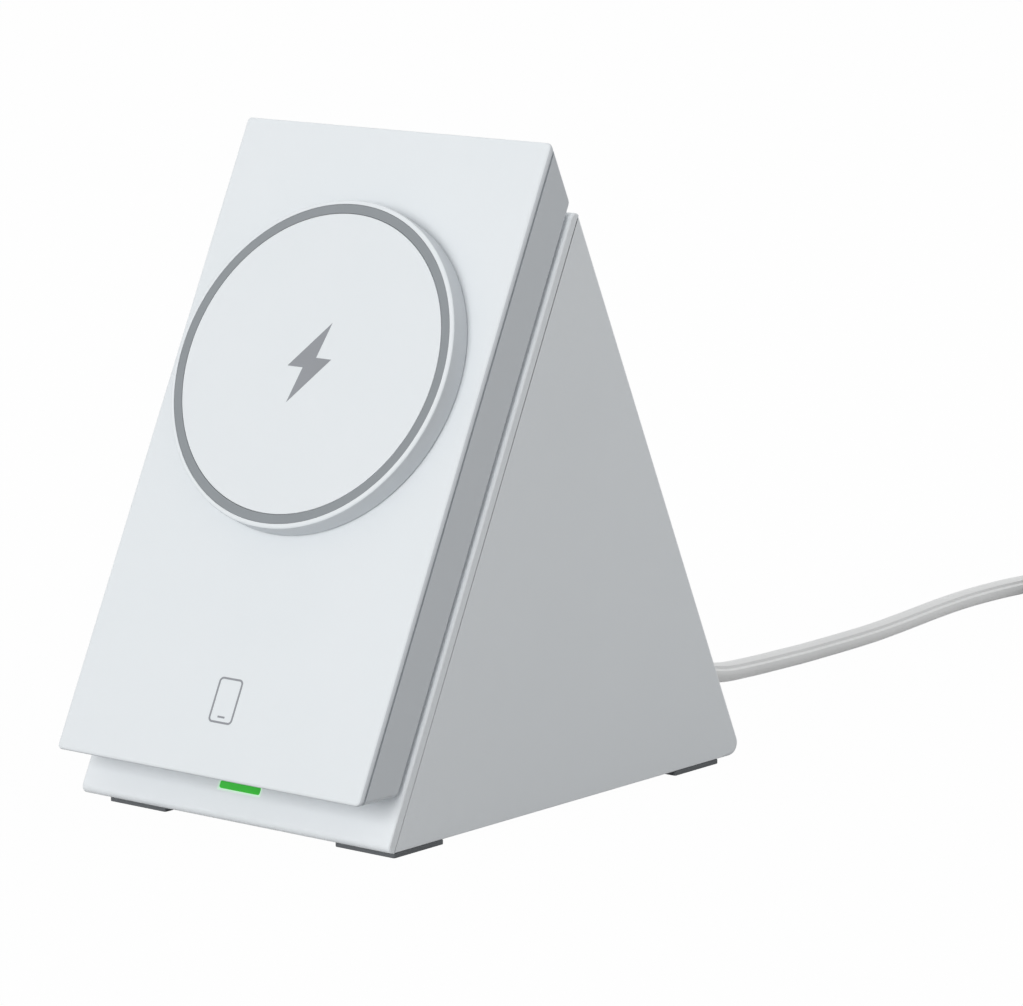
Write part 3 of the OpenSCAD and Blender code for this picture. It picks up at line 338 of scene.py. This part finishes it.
def windingPoint(turn):
    pitch, keys = cord["across"], cord["winding"]
    inner = cord["middle"] - pitch * (cord["columns"] - 1) / 2
    before = max((k for k in keys if k[0] <= turn), key=lambda k: k[0])
    after = min((k for k in keys if k[0] >= turn), key=lambda k: k[0])
    share = 0 if after[0] == before[0] else (turn - before[0]) / (after[0] - before[0])
    share = share * share * (3 - 2 * share)
    column = before[1] + (after[1] - before[1]) * share
    row = before[2] + (after[2] - before[2]) * share
    if before[1] != after[1] and before[2] != after[2]:  # rolls over the strand beside it
        column = before[1] + (after[1] - before[1]) * math.sin(share * math.pi / 2)
        row = after[2] + (before[2] - after[2]) * math.cos(share * math.pi / 2)
    angle, radius = math.pi * (1 - 2 * turn), inner + pitch * column
    return Vector((cord["coilAt"][0] + radius * math.cos(angle), cord["coilAt"][1] + radius * math.sin(angle),
                   pitch * (row + 0.5) + cord["lift"]))


def smoothLine(points, step):  # even points on a Catmull-Rom curve through the given ones
    points = [2 * points[0] - points[1], *points, 2 * points[-1] - points[-2]]
    line = []
    for a, b, c, d in zip(points, points[1:], points[2:], points[3:]):
        count = max(1, round((c - b).length / step))
        for i in range(count):
            t = i / count
            line.append((2 * b + (c - a) * t + (2 * a - 5 * b + 4 * c - d) * t ** 2
                         + (3 * b - a - 3 * c + d) * t ** 3) / 2)
    return line + [points[-2]]


def cordLine():
    last = cord["winding"][-1][0]
    count = int(last * cord["perTurn"])
    wound = [windingPoint(last * i / count) for i in range(1, count + 1)]
    route = [Vector(p) for p in cord["route"]] + wound + [Vector(p) for p in cord["wayOut"]]
    return [p * mm for p in smoothLine(route, cord["step"])]


# Plug grips: a moulded block with rounded ends and a ribbed, tapering relief round the cord
plug = {"grip": (10.6, 15, 5.6), "corner": 2.0, "endEdge": 0.6, "relief": (2.5, 1.95, 9.84), "sunk": 0.5,
        "ribs": 5, "ribDeep": 0.28, "ribFade": 16, "ribStep": 0.12, "sides": 24,
        "near": (0, 42.159, 8.8), "far": (44.2, 197.221, 2.8)}


def makeGrip(name, replaced, at):
    wide, long, high = plug["grip"]
    bm = bmesh.new()
    bmesh.ops.create_cube(bm, size=1, matrix=Matrix.Translation((0, long / 2, 0))
                          @ Matrix.Diagonal((wide, long, high, 1)))
    roundOff(bm, edgesWhere(bm, lambda a, b: near(a.x, b.x) and near(a.z, b.z)), plug["corner"], 6)
    roundOff(bm, edgesWhere(bm, lambda a, b: near(a.y, b.y) and (near(a.y, 0) or near(a.y, long))),
             plug["endEdge"], 3)
    first, last, run = plug["relief"]
    pitch, step = run / (2 * plug["ribs"] + 1), plug["ribStep"]
    profile = [(0, long - plug["sunk"]), (first, long - plug["sunk"])]
    for i in range(2 * plug["ribs"] + 1):  # every second stretch is a groove, and the last ones are shallower
        groove = (i % 2) * plug["ribDeep"] * (1 - i / plug["ribFade"])
        radius = first + (last - first) * (i + 0.5) * pitch / run - groove
        profile += [(radius, long + i * pitch + step * (i > 0)), (radius, long + (i + 1) * pitch - step)]
    relief = turnedProfile(profile[:-1] + [(last, long + run), (0, long + run)], plug["sides"])
    mesh = bpy.data.meshes.new("relief")
    relief.to_mesh(mesh)
    relief.free()
    bm.from_mesh(mesh)
    bpy.data.meshes.remove(mesh)
    settle(bm, Matrix.Scale(mm, 4) @ Matrix.Translation(at))
    return finishPiece(bm, name, "stand", [jacketTpe], [replaced], 30)


def makeCord(strap):
    grips = [makeGrip("plugGrip", "plug_grip", plug["near"]),
             makeGrip("farPlugGrip", "far_plug_grip", plug["far"])]
    line, sides = cordLine(), cord["sides"]
    radius = cord["across"] / 2 * mm
    bm = bmesh.new()
    loops, up = [], Vector((0, 0, 1))
    for i, point in enumerate(line):
        ahead = (line[min(i + 1, len(line) - 1)] - line[max(i - 1, 0)]).normalized()
        across = ahead.cross(up).normalized()
        turn = Matrix((across, across.cross(ahead), -ahead)).transposed().to_4x4()
        made = bmesh.ops.create_circle(bm, segments=sides, radius=radius,
                                       matrix=Matrix.Translation(point) @ turn)["verts"]
        made[cord["grooveAt"]].co += (point - made[cord["grooveAt"]].co) * cord["groove"]  # the mould's line
        loops.append(list({e for v in made for e in v.link_edges}))
    for a, b in zip(loops, loops[1:]):
        bmesh.ops.bridge_loops(bm, edges=a + b)
    for ring in (loops[0], loops[-1]):
        bmesh.ops.edgeloop_fill(bm, edges=[e for e in ring if len(e.link_faces) == 1])
    bmesh.ops.recalc_face_normals(bm, faces=bm.faces)
    piece = finishPiece(bm, "cord", "stand", [jacketTpe], ["cable", "cable_coil"], 24)
    run = sum((b - a).length for a, b in zip(line, line[1:]))
    print("cord made:", round(run, 4), "m over", len(line), "rings")


# Phone panel: a white face with a rounded edge, a fine line behind it, and painted shade in grey on the back
# part of the edge and the sides
# The corner's radius has to stay larger than rearEdge after the taper, or the cuts leave nothing
panel = {"wide": 66.4, "long": 114.954, "thick": 9.3, "wedge": 52.0, "corner": 1.0, "frontEdge": 0.85,
         "rearEdge": 0.75, "paintedShadeFrom": 0.3, "lineAt": 0.88, "lineWide": 0.5, "lineDeep": 0.4,
         "wall": 2.0, "faceThick": 1.8, "bore": 27.7, "boreAt": 71.254, "boreDeep": 10, "boreMiddle": 4,
         "hingeDepth": 6.3, "hingeAt": 106.225, "hingeOff": 20.0, "notchHalf": 4.9, "notchRadius": 3.3,
         "roundSteps": 8, "wasteOut": 1.5, "wasteTip": 1.9, "past": 1}


def panelBlank():  # walls run straight back from the rounded face to the smaller rear
    wide, long, thick = panel["wide"], panel["long"], panel["thick"]
    lean, wedge = math.radians(slopes["lean"]), math.radians(panel["wedge"])
    low, top = thick * math.tan(lean), long - thick / math.tan(wedge)
    bm = bmesh.new()
    lay = (Matrix.Translation((0, 0, long / 2)) @ Matrix.Rotation(math.pi / 2, 4, "X")
           @ Matrix.Diagonal((wide, long, 1, 1)))
    bmesh.ops.create_grid(bm, x_segments=1, y_segments=1, size=0.5, matrix=lay)
    bmesh.ops.bevel(bm, geom=bm.verts[:], offset=panel["corner"], offset_type="OFFSET", segments=8,
                    profile=0.5, affect="VERTICES", material=-1)
    made = bmesh.ops.extrude_face_region(bm, geom=bm.faces[:])["geom"]
    taper = Matrix.Translation((0, thick, low)) @ Matrix.Diagonal((1, 1, (top - low) / long, 1))
    bmesh.ops.transform(bm, matrix=taper, verts=[v for v in made if isinstance(v, bmesh.types.BMVert)])
    bmesh.ops.recalc_face_normals(bm, faces=bm.faces)
    roundOff(bm, edgesWhere(bm, lambda a, b: near(a.y, thick) and near(b.y, thick)), panel["rearEdge"], 4)
    roundOff(bm, edgesWhere(bm, lambda a, b: near(a.y, 0) and near(b.y, 0)), panel["frontEdge"], 6)
    return bm


def hingeRounding():  # the waste outside the rear top edge's rounding, which is centred on the hinge
    radius, wedge = panel["thick"] - panel["hingeDepth"], math.radians(panel["wedge"])
    steps, out, tip = panel["roundSteps"], panel["wasteOut"], panel["wasteTip"]
    arc = [(math.cos(wedge * i / steps), math.sin(wedge * i / steps)) for i in range(steps + 1)]
    outside = [(out * math.cos(wedge), out * math.sin(wedge)),
               (tip * math.cos(wedge / 2), tip * math.sin(wedge / 2)), (out, 0)]
    return prism([(panel["hingeDepth"] + radius * t, panel["hingeAt"] + radius * h) for t, h in arc + outside],
                 panel["wide"] + 2 * panel["past"])


def makePanelShell():
    bm = panelBlank()
    low, high = panel["lineAt"], panel["lineAt"] + panel["lineWide"]
    for depth in (low, high):
        bmesh.ops.bisect_plane(bm, geom=bm.verts[:] + bm.edges[:] + bm.faces[:], dist=1e-5,
                               plane_co=(0, depth, 0), plane_no=(0, 1, 0))
    band = [f for f in bm.faces if low < f.calc_center_median().y < high]
    bmesh.ops.inset_region(bm, faces=band, thickness=0, depth=-panel["lineDeep"], use_even_offset=True)
    wall, thick, wedge = panel["wall"], panel["thick"] + panel["past"], math.radians(panel["wedge"])
    lean, first = math.radians(slopes["lean"]), panel["faceThick"]
    foot = [t * math.tan(lean) + wall / math.cos(lean) for t in (first, thick)]
    head = [panel["long"] - t / math.tan(wedge) - wall / math.sin(wedge) for t in (first, thick)]
    cavity = prism([(first, foot[0]), (first, head[0]), (thick, head[1]), (thick, foot[1])],
                   panel["wide"] - 2 * wall)
    bore = bmesh.new()
    bmesh.ops.create_cone(bore, cap_ends=True, segments=96, radius1=panel["bore"], radius2=panel["bore"],
                          depth=panel["boreDeep"],
                          matrix=Matrix.Translation((0, panel["boreMiddle"], panel["boreAt"]))
                          @ Matrix.Rotation(math.pi / 2, 4, "X"))
    cutters = [hingeRounding(), cavity, bore]
    radius, wide = panel["notchRadius"], 2 * panel["notchHalf"]
    hinge = Matrix.Translation((0, panel["hingeDepth"], panel["hingeAt"]))
    for x in (-panel["hingeOff"], panel["hingeOff"]):
        across = hinge @ Matrix.Translation((x, 0, 0))
        barrel = bmesh.new()
        bmesh.ops.create_cone(barrel, cap_ends=True, segments=48, radius1=radius, radius2=radius, depth=wide,
                              matrix=across @ Matrix.Rotation(math.pi / 2, 4, "Y"))
        straight = prism([(0, -radius), (2 * radius, -radius), (2 * radius, 2 * radius), (0, 2 * radius)], wide)
        bmesh.ops.transform(straight, matrix=across, verts=straight.verts)
        slanted = prism([(0, 0), (2 * radius, 0), (2 * radius, radius), (0, radius)], wide)
        bmesh.ops.transform(slanted, matrix=across @ Matrix.Rotation(wedge - math.pi / 2, 4, "X"),
                            verts=slanted.verts)
        cutters += [barrel, straight, slanted]
    bm = cutAway(bm, cutters)
    # painted shade: every face more than a set depth behind the face (the back of the rounded edge, the line and
    # the sides) gets the grey ABS
    for face in bm.faces:
        face.material_index = int(face.calc_center_median().y > panel["paintedShadeFrom"])
    settle(bm, panelFrame)
    finishPiece(bm, "panelShell", "panel", [panelAbs, greyAbsAndPaintedShade], ["panel_shell"])


makePanelShell()


# Phone puck: a turned rim, a flat face and the grip ring between them
puck = {"radius": 29.0, "high": 4.2, "at": 71.254, "topEdge": 0.45, "paintedShadeFrom": 0.2, "baseGap": 0.28,
        "ring": (26.55, 28.2), "ringDeep": 0.8, "discThick": 1.2,
        "inner": 26.4, "web": 21.6, "webThick": 0.8, "spigot": (27.6, 3.3), "seam": 0.06,
        "discEdge": 0.12, "ringEdge": 0.1}


def makePuck():
    top, low, high = -puck["high"], *puck["ring"]
    place = panelFrame @ Matrix.Translation((0, 0, puck["at"]))
    web, gap, radius = top + puck["discThick"], puck["baseGap"], puck["radius"]
    rim = turnedProfile([
        (radius - gap, 0), (radius - gap, -gap), (radius, -gap), (radius, top), (high, top),
        (high, top + puck["ringDeep"]), (low, top + puck["ringDeep"]), (low, web), (puck["web"], web),
        (puck["web"], web + puck["webThick"]),
        (puck["inner"], web + puck["webThick"]), (puck["inner"], puck["spigot"][1]),
        (puck["spigot"][0], puck["spigot"][1]), (puck["spigot"][0], 0)])
    roundOff(rim, ringEdges(rim, radius, top), puck["topEdge"], 6)
    # painted shade: the rim's wall below its rounded top gets the grey ABS
    for face in rim.faces:
        face.material_index = int(face.calc_center_median().y > top + puck["paintedShadeFrom"])
    settle(rim, place)
    finishPiece(rim, "puckRim", "panel", [panelAbs, greyAbsAndPaintedShade], ["puck_rim"])
    disc = turnedProfile([(0, top), (low - puck["seam"], top), (low - puck["seam"], web), (0, web)])
    roundOff(disc, ringEdges(disc, low - puck["seam"], top), puck["discEdge"], 2)
    settle(disc, place)
    finishPiece(disc, "puckFace", "panel", [discAbs], ["puck_face"])
    ring = turnedProfile([(low, top), (high - puck["seam"] / 2, top),
                          (high - puck["seam"] / 2, top + puck["ringDeep"]), (low, top + puck["ringDeep"])])
    for edgeRadius in (low, high - puck["seam"] / 2):
        roundOff(ring, ringEdges(ring, edgeRadius, top), puck["ringEdge"], 2)
    settle(ring, place)
    finishPiece(ring, "gripRing", "panel", [gripSilicone], ["grip_ring"])


makePuck()


# Printed marks: thin ink on the puck's face and on the panel
marks = {"ink": 0.03, "bolt": [(2.4, 7.25), (-4.4, -0.95), (-1.1, -0.95)], "phoneAt": 13.35,
         "phoneSize": (5.15, 7.85), "phoneCorner": 0.85, "phoneLine": 0.35, "bar": (1.5, 0.32), "barUp": 1.1}


def inkFrom(bm, at, name, replaced):  # a flat outline given the ink's thickness
    made = bmesh.ops.extrude_face_region(bm, geom=bm.faces[:])["geom"]
    bmesh.ops.translate(bm, vec=(0, -marks["ink"], 0),
                        verts=[v for v in made if isinstance(v, bmesh.types.BMVert)])
    settle(bm, panelFrame @ Matrix.Translation(at))
    finishPiece(bm, name, "panel", [markInk], [replaced])


def makeMarks():
    bolt = bmesh.new()
    upper = marks["bolt"]
    bolt.faces.new([bolt.verts.new((x, 0, z)) for x, z in upper + [(-x, -z) for x, z in upper]])
    inkFrom(bolt, (0, -puck["high"], puck["at"]), "boltMark", "bolt_mark")
    phone = bmesh.new()
    wide, long = marks["phoneSize"]
    flat = Matrix.Rotation(math.pi / 2, 4, "X")
    bmesh.ops.create_grid(phone, x_segments=1, y_segments=1, size=0.5,
                          matrix=flat @ Matrix.Diagonal((wide, long, 1, 1)))
    bmesh.ops.bevel(phone, geom=phone.verts[:], offset=marks["phoneCorner"], offset_type="OFFSET", segments=6,
                    profile=0.5, affect="VERTICES", material=-1)
    inner = phone.faces[:]
    bmesh.ops.inset_region(phone, faces=inner, thickness=marks["phoneLine"], use_even_offset=True,
                           use_boundary=True)
    bmesh.ops.delete(phone, geom=inner, context="FACES")
    bmesh.ops.create_grid(phone, x_segments=1, y_segments=1, size=0.5,
                          matrix=Matrix.Translation((0, 0, marks["barUp"] - long / 2)) @ flat
                          @ Matrix.Diagonal((*marks["bar"], 1, 1)))
    inkFrom(phone, (0, 0, marks["phoneAt"]), "phoneMark", "phone_mark")


makeMarks()
print("panel made")


# Moulded and cut pieces that keep the CAD's shape and get their real edge rounding
softening = {"joinWithin": 2e-6, "flatBelow": 0.4, "edgeAbove": 30}  # metres, and two angles in degrees


def softened(name, piece, body, materials, widest, share, sharp=40, mend=None):
    # share takes an edge's ends in mm and gives its part of the widest rounding
    bm = bmesh.new()
    bm.from_mesh(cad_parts[name].data)
    bmesh.ops.remove_doubles(bm, verts=bm.verts, dist=softening["joinWithin"])
    bmesh.ops.dissolve_limit(bm, angle_limit=math.radians(softening["flatBelow"]), verts=bm.verts,
                             edges=bm.edges)
    if mend:
        mend(bm)
    weight = bm.edges.layers.float.new("bevel_weight_edge")
    for edge in bm.edges:
        if len(edge.link_faces) == 2 and edge.is_convex:
            first, second = (v.co / mm for v in edge.verts)
            corner = math.degrees(edge.calc_face_angle()) > softening["edgeAbove"]
            edge[weight] = share(first, second) if corner else 0
    return finishPiece(bm, piece, body, materials, [name], sharp, widest)


stand = {"half": 33.8, "edge": 0.65, "footShare": 0.35, "ledgeShare": 0.6, "coverShare": 0.4,
         "seam": (11.4, 0.08), "seamReach": 0.15, "sideReach": 0.05, "footTop": 0.85, "ledgeHalf": 24,
         "sideFacing": 0.9, "rubberEdge": 0.12, "puckEdge": 0.25, "dishEdge": 0.15, "padEdge": 0.15,
         "strapEdge": 0.3}
towardsPanel = panelFrame.inverted()


def seamDepth(point):  # depth behind the panel's face, in mm
    return (towardsPanel @ (point * mm)).y


def atSide(a, b):  # an edge of the stand's side
    return min(abs(a.x), abs(b.x)) > stand["half"] - stand["sideReach"]


def standShare(a, b):
    atSeam = max(abs(seamDepth(a) - stand["seam"][0]), abs(seamDepth(b) - stand["seam"][0])) < stand["seamReach"]
    return int(atSide(a, b) and not atSeam and max(a.z, b.z) > stand["footTop"])


def coverShare(a, b):
    return stand["coverShare"] * standShare(a, b)


def shellShare(a, b):
    if all(near(abs(v.x), stand["ledgeHalf"], stand["sideReach"]) for v in (a, b)):
        return stand["ledgeShare"]
    if atSide(a, b) and max(a.z, b.z) < stand["footTop"]:
        return stand["footShare"]
    return standShare(a, b)


def closeSeam(bm):  # brings the cover's rear face nearer the casing, for the fine line that they show
    for vert in bm.verts:
        if near(seamDepth(vert.co / mm), stand["seam"][0]):
            vert.co += panelFrame.to_3x3() @ Vector((0, stand["seam"][1], 0))
    # painted light: the cover's front faces take its lighter white ABS, and its narrow sides take the casing's
    for face in bm.faces:  # its narrow sides are as grained as the casing's
        face.material_index = int(abs(face.normal.x) > stand["sideFacing"])


def allShare(a, b):
    return 1


softened("main_shell", "mainShell", "stand", [standAbs], stand["edge"], shellShare)
softened("front_cover", "frontCover", "stand", [coverAbsPaintedLight, standAbs], stand["edge"], coverShare,
         mend=closeSeam)
for foot in ("foot_front_right", "foot_front_left", "foot_rear_right", "foot_rear_left"):
    softened(foot, foot.replace("_", "") + "Pad", "stand", [footRubber], stand["rubberEdge"],
             allShare)
softened("watch_puck", "watchPuck", "stand", [panelAbs], stand["puckEdge"], allShare)
softened("watch_dish", "watchDish", "stand", [discAbs], stand["dishEdge"], allShare)
softened("earbud_pad", "earbudPad", "stand", [gripSilicone], stand["padEdge"], allShare)
makeCord(softened("cable_tie", "cordStrap", "stand", [gripSilicone], stand["strapEdge"], allShare))


# Screws that show from behind and from below: cross recesses in their heads
screws = {
    "panel": {"node": "panel_screws", "place": Matrix.Scale(1 / mm, 4) @ panelFrame, "cross": (1.9, 0.45, 0.55),
              "heads": [(x, 9.25, along) for x in (-29, 29) for along in (12, 38.054, 98.725)]},
    "stand": {"node": "base_screws", "place": Matrix.Rotation(math.pi / 2, 4, "X"), "cross": (2.6, 0.6, 0.8),
              "heads": [(x, 0.8, -y) for x, y in ((-29.3, -31.037), (29.3, -31.037), (-16, -31.037),
                                                  (16, -31.037), (-29.3, 38.559), (29.3, 38.559))]}}


def makeScrews(body, kind):
    bm = bmesh.new()
    bm.from_mesh(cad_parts[kind["node"]].data)
    bmesh.ops.transform(bm, matrix=Matrix.Scale(1 / mm, 4), verts=bm.verts)
    wide, narrow, deep = kind["cross"]
    cutters = []
    for size in ((wide, 2 * deep, narrow), (narrow, 2 * deep, wide)):
        cutters.append(bmesh.new())
        for head in kind["heads"]:
            bmesh.ops.create_cube(cutters[-1], size=1, matrix=kind["place"] @ Matrix.Translation(head)
                                  @ Matrix.Diagonal((*size, 1)))
    bm = cutAway(bm, cutters)
    settle(bm, Matrix.Scale(mm, 4))
    finishPiece(bm, body + "Screws", body, [platedSteel], [kind["node"]])


for body, kind in screws.items():
    makeScrews(body, kind)
print("stand made")


# Light and floor
studio = {
    "ambient": 0.535, "floorSize": 6, "floorWhite": 0.985, "aim": (0, 0, 0.05),
    # the paper's diffuse tone beneath the part and away from it, painted shade that is darker beneath the part
    # so that less light bounces onto its lower sides, and the two distances between which it changes
    "floorPaperPaintedShade": (0.5, 0.64), "paintedShadeReach": (0.06, 0.25),
    "lamps": {
        "key": {"place": (0.05, -1.85, 0.6), "size": 0.9, "power": 17.9},
        "fill": {"place": (0.6, 0.9, 1.9), "size": 1.0, "power": 8.2}}}


def whiteForSight(tree):  # 1 for camera, glossy and transmission rays
    path = addNode(tree, "ShaderNodeLightPath")
    first = addNode(tree, "ShaderNodeMath", {"operation": "MAXIMUM"})
    tree.links.new(path.outputs["Is Camera Ray"], first.inputs[0])
    tree.links.new(path.outputs["Is Glossy Ray"], first.inputs[1])
    both = addNode(tree, "ShaderNodeMath", {"operation": "MAXIMUM"})
    tree.links.new(first.outputs[0], both.inputs[0])
    tree.links.new(path.outputs["Is Transmission Ray"], both.inputs[1])
    return both.outputs[0]


def makeStudio():
    world = bpy.data.worlds.new("studio")
    bpy.context.scene.world = world
    world.use_nodes = True
    tree = world.node_tree
    tree.nodes.clear()
    ambient = addNode(tree, "ShaderNodeBackground", {"Strength": studio["ambient"]})
    white = addNode(tree, "ShaderNodeBackground", {"Strength": 1.0})
    for shade in (ambient, white):
        shade.inputs["Color"].default_value = (1, 1, 1, 1)
    mix = addNode(tree, "ShaderNodeMixShader", links={"Fac": whiteForSight(tree)})
    tree.links.new(ambient.outputs[0], mix.inputs[1])
    tree.links.new(white.outputs[0], mix.inputs[2])
    addNode(tree, "ShaderNodeOutputWorld", links={"Surface": mix.outputs[0]})

    for name, lamp in studio["lamps"].items():
        light = bpy.data.lights.new(name, "AREA")
        light.size, light.energy = lamp["size"], lamp["power"]
        body = bpy.data.objects.new(name, light)
        body.location = lamp["place"]
        body.rotation_mode = "QUATERNION"
        body.rotation_quaternion = (Vector(studio["aim"]) - body.location).to_track_quat("-Z", "Y")
        bpy.context.scene.collection.objects.link(body)

    floorPaperPaintedShade = bpy.data.materials.new("white studio paper")
    floorPaperPaintedShade.use_nodes = True
    tree = floorPaperPaintedShade.node_tree
    tree.nodes.clear()
    place = addNode(tree, "ShaderNodeTexCoord").outputs["Object"]
    away = addNode(tree, "ShaderNodeVectorMath", {"operation": "LENGTH"})
    tree.links.new(place, away.inputs[0])
    # painted shade: the floor's diffuse colour darkens towards the part, under the white that the camera sees
    (nearest, farthest), (dark, pale) = studio["paintedShadeReach"], studio["floorPaperPaintedShade"]
    paintedShadeTone = addNode(tree, "ShaderNodeMapRange",
                   {"From Min": nearest, "From Max": farthest, "To Min": dark, "To Max": pale},
                   {"Value": away.outputs["Value"]})
    paper = addNode(tree, "ShaderNodeBsdfDiffuse", links={"Color": paintedShadeTone.outputs["Result"]})
    glow = addNode(tree, "ShaderNodeEmission", {"Strength": 1.0})
    share = addNode(tree, "ShaderNodeMath", {"operation": "MULTIPLY"})
    tree.links.new(whiteForSight(tree), share.inputs[0])
    share.inputs[1].default_value = studio["floorWhite"]
    mix = addNode(tree, "ShaderNodeMixShader", links={"Fac": share.outputs[0]})
    tree.links.new(paper.outputs[0], mix.inputs[1])
    tree.links.new(glow.outputs[0], mix.inputs[2])
    addNode(tree, "ShaderNodeOutputMaterial", links={"Surface": mix.outputs[0]})
    bm = bmesh.new()
    bmesh.ops.create_grid(bm, x_segments=1, y_segments=1, size=studio["floorSize"] / 2)
    mesh = bpy.data.meshes.new("floor")
    bm.to_mesh(mesh)
    bm.free()
    mesh.materials.append(floorPaperPaintedShade)
    floor = bpy.data.objects.new("floor", mesh)
    bpy.context.scene.collection.objects.link(floor)


makeStudio()
print("studio made")
